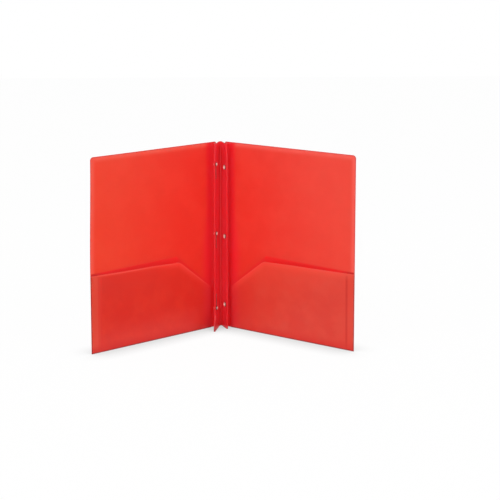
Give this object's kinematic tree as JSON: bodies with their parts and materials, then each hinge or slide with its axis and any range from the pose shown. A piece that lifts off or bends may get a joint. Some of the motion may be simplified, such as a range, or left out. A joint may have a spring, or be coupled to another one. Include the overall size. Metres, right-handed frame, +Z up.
{
  "type": "two pocket folder",
  "caption": "Open two-pocket plastic folder with hinged covers, slant-cut inner pockets and a folded gutter with bending tangs and eyelets.",
  "frame": {"origin": "middle of the bounding box on the surface the folder stands on", "axes": "+X along the open width, towards the back cover; +Y away from the reader, towards the spine; +Z up along the creases"},
  "size_m": [0.3854, 0.1562, 0.292],
  "materials": {
    "sheet": "satin translucent polypropylene",
    "fastener": "nickel plated"
  },
  "bodies": {
    "spine": {"spine": "sheet"},
    "front_fin": {"front_fin": "sheet", "rivet_top": "fastener", "rivet_middle": "fastener", "rivet_bottom": "fastener", "tang_root_top": "fastener", "tang_root_middle": "fastener", "tang_root_bottom": "fastener"},
    "front_cover": {"front_cover": "sheet", "front_pocket": "sheet", "front_pocket_fold": "sheet", "front_pocket_flap": "sheet"},
    "back_fin": {"back_fin": "sheet", "eyelet_top": "fastener", "eyelet_middle": "fastener", "eyelet_bottom": "fastener"},
    "back_cover": {"back_cover": "sheet", "back_pocket": "sheet", "back_pocket_fold": "sheet", "back_pocket_flap": "sheet"},
    "tang_top": {"tang_top": "fastener"},
    "tang_middle": {"tang_middle": "fastener"},
    "tang_bottom": {"tang_bottom": "fastener"}
  },
  "joints": [
    {"name": "front_gutter_crease", "type": "hinge", "parent": "spine", "child": "front_fin", "pos_m": [-0.0015, 0.07762, 0.146], "axis": [0, 0, -1], "range_deg": [-16.5, 25]},
    {"name": "back_gutter_crease", "type": "hinge", "parent": "spine", "child": "back_fin", "pos_m": [0.0015, 0.07762, 0.146], "axis": [0, 0, 1], "range_deg": [-16.5, 25]},
    {"name": "front_cover_crease", "type": "hinge", "parent": "front_fin", "child": "front_cover", "pos_m": [-0.00875, 0.07412, 0.146], "axis": [0, 0, -1], "range_deg": [-32, 100]},
    {"name": "back_cover_crease", "type": "hinge", "parent": "back_fin", "child": "back_cover", "pos_m": [0.00875, 0.07412, 0.146], "axis": [0, 0, 1], "range_deg": [-32, 100]},
    {"name": "tang_bend_top", "type": "hinge", "parent": "front_fin", "child": "tang_top", "pos_m": [-0.00708, 0.05966, 0.25395], "axis": [-0.3107, -0.9505, 0], "range_deg": [0, 90]},
    {"name": "tang_bend_middle", "type": "hinge", "parent": "front_fin", "child": "tang_middle", "pos_m": [-0.00708, 0.05966, 0.146], "axis": [-0.3107, -0.9505, 0], "range_deg": [0, 90]},
    {"name": "tang_bend_bottom", "type": "hinge", "parent": "front_fin", "child": "tang_bottom", "pos_m": [-0.00708, 0.05966, 0.03805], "axis": [0.3107, 0.9505, 0], "range_deg": [0, 90]}
  ]
}
